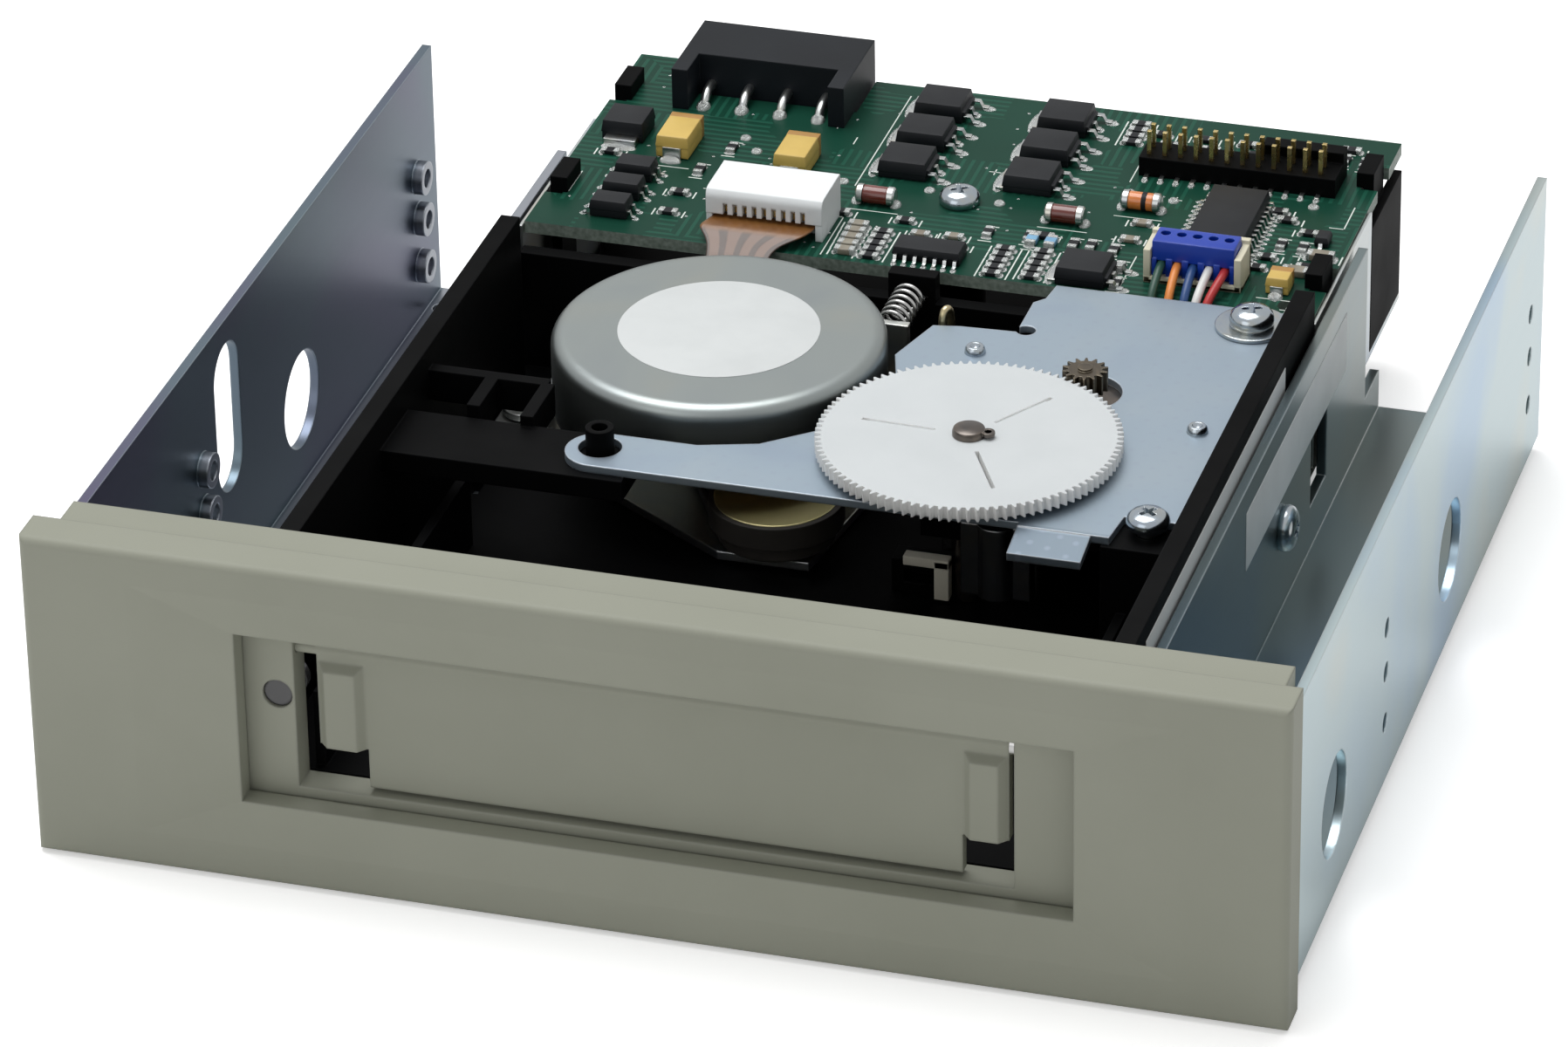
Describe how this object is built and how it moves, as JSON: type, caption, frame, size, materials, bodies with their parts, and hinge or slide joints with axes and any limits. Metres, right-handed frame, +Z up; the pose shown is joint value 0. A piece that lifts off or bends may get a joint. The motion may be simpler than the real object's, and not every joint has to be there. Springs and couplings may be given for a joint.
{
  "type": "data tape drive",
  "caption": "Mini-cartridge data tape drive with open top, held between two folded steel rails behind a wide bay bezel; door, motor and head positioner move.",
  "frame": {"origin": "middle of the base of the whole drive's box, on the surface it stands on", "axes": "+X to the right seen from the front, +Y from the bezel towards the rear, +Z up"},
  "size_m": [0.148, 0.16, 0.0416],
  "materials": {
    "putty_plastic": "fine moulded grain, warm grey",
    "zinc_steel": "bright zinc plating",
    "satin_zinc": "satin plating",
    "galvanised": "pale bluish plating",
    "screw_steel": "machined steel",
    "spring_steel": "drawn wire",
    "pin_metal": "tinned",
    "head_metal": "ground",
    "black_plastic": "slightly satin black",
    "black_gloss": "moulded black",
    "chip_black": "moulded package",
    "white_plastic": "moulded white",
    "cream_plastic": "moulded cream",
    "blue_plastic": "moulded blue",
    "white_nylon": "translucent white nylon",
    "board_green": "green solder mask",
    "dark_lens": "dark lamp lens",
    "wire_plastic": "coloured wire insulation",
    "gold": "gold plate",
    "brass": "turned brass",
    "bronze": "sintered bronze",
    "stator_copper": "enamelled copper windings",
    "flex_copper": "amber film over copper tracks",
    "tantalum_yellow": "moulded yellow",
    "diode_red": "dark red glass",
    "tyre_rubber": "dark soft rubber"
  },
  "bodies": {
    "frame": {"adapter_bezel": "putty_plastic", "bezel_screws": "screw_steel", "board_screw": "screw_steel", "bottom_shield": "zinc_steel", "chassis": "black_plastic", "cradle_pin": "screw_steel", "door_spring": "spring_steel", "drive_bezel": "putty_plastic", "drive_screws": "screw_steel", "flex_cable": "flex_copper", "flex_socket": "white_plastic", "glass_diodes": "diode_red", "guide_rods": "screw_steel", "interface_connector": "black_gloss", "interface_pins": "gold", "jumper_header": "black_gloss", "jumper_pins": "gold", "lamp_lens": "dark_lens", "left_rail": "zinc_steel", "logic_chips": "chip_black", "main_board": "board_green", "plate_rivets": "screw_steel", "plate_screws": "screw_steel", "positioner_plate": "galvanised", "power_connector": "black_gloss", "power_pins": "pin_metal", "power_transistors": "chip_black", "right_rail": "zinc_steel", "sensing_switch": "black_gloss", "stepper_header": "cream_plastic", "stepper_motor": "satin_zinc", "stepper_plug": "blue_plastic", "stepper_wires": "wire_plastic", "tantalum_capacitors": "tantalum_yellow"},
    "door": {"cartridge_door": "putty_plastic"},
    "cradle": {"motor_cradle": "zinc_steel", "motor_stator": "stator_copper", "puck_axle": "screw_steel", "drive_belt": "tyre_rubber", "cradle_spring": "spring_steel"},
    "rotor": {"motor_rotor": "satin_zinc", "drive_pulley": "brass"},
    "puck": {"capstan_puck": "brass", "puck_tyre": "tyre_rubber"},
    "gear": {"lead_screw_gear": "white_nylon", "lead_screw": "screw_steel", "e_clip": "spring_steel"},
    "pinion": {"stepper_pinion": "bronze"},
    "head": {"head_carriage": "black_plastic", "magnetic_head": "head_metal"},
    "lever": {"sensing_lever": "cream_plastic"}
  },
  "joints": [
    {"name": "door_swing", "type": "hinge", "parent": "frame", "child": "door", "pos_m": [0, -0.0743, 0.0292], "axis": [1, 0, 0], "range_deg": [0, 80], "stiffness_Nm_per_rad": 0.003, "springref_deg": -22.92},
    {"name": "cradle_swing", "type": "hinge", "parent": "frame", "child": "cradle", "pos_m": [-0.0446, 0.012, 0.0124], "axis": [0, 0, 1], "range_deg": [0, 2], "stiffness_Nm_per_rad": 0.6, "springref_deg": -5.73, "deforming": ["cradle_spring"]},
    {"name": "motor_spin", "type": "hinge", "parent": "cradle", "child": "rotor", "pos_m": [-0.0165, 0.0032, 0.028], "axis": [0, 0, 1], "continuous": true},
    {"name": "puck_spin", "type": "hinge", "parent": "cradle", "child": "puck", "pos_m": [-0.0057, -0.0097, 0.016], "axis": [0, 0, 1], "continuous": true},
    {"name": "lead_screw_turn", "type": "hinge", "parent": "frame", "child": "gear", "pos_m": [0.0195, -0.0142, 0.032], "axis": [0, 0, 1], "range_deg": [-342.35, 342.35]},
    {"name": "pinion_turn", "type": "hinge", "parent": "frame", "child": "pinion", "pos_m": [0.02883, 0.00388, 0.032], "axis": [0, 0, 1], "range_deg": [-2495, 2495]},
    {"name": "head_slide", "type": "slide", "parent": "frame", "child": "head", "axis": [0, 0, 1], "range_m": [-0.00302, 0.00302]},
    {"name": "lever_push", "type": "slide", "parent": "frame", "child": "lever", "axis": [0, 1, 0], "range_m": [0, 0.0012], "stiffness_N_per_m": 60, "springref_m": -0.002}
  ],
  "couplings": [
    {"joint": "puck_spin", "follows": "motor_spin", "ratio": 0.5},
    {"joint": "pinion_turn", "follows": "lead_screw_turn", "ratio": -7.2857},
    {"joint": "head_slide", "follows": "lead_screw_turn", "m_per_rad": -0.00050532}
  ]
}
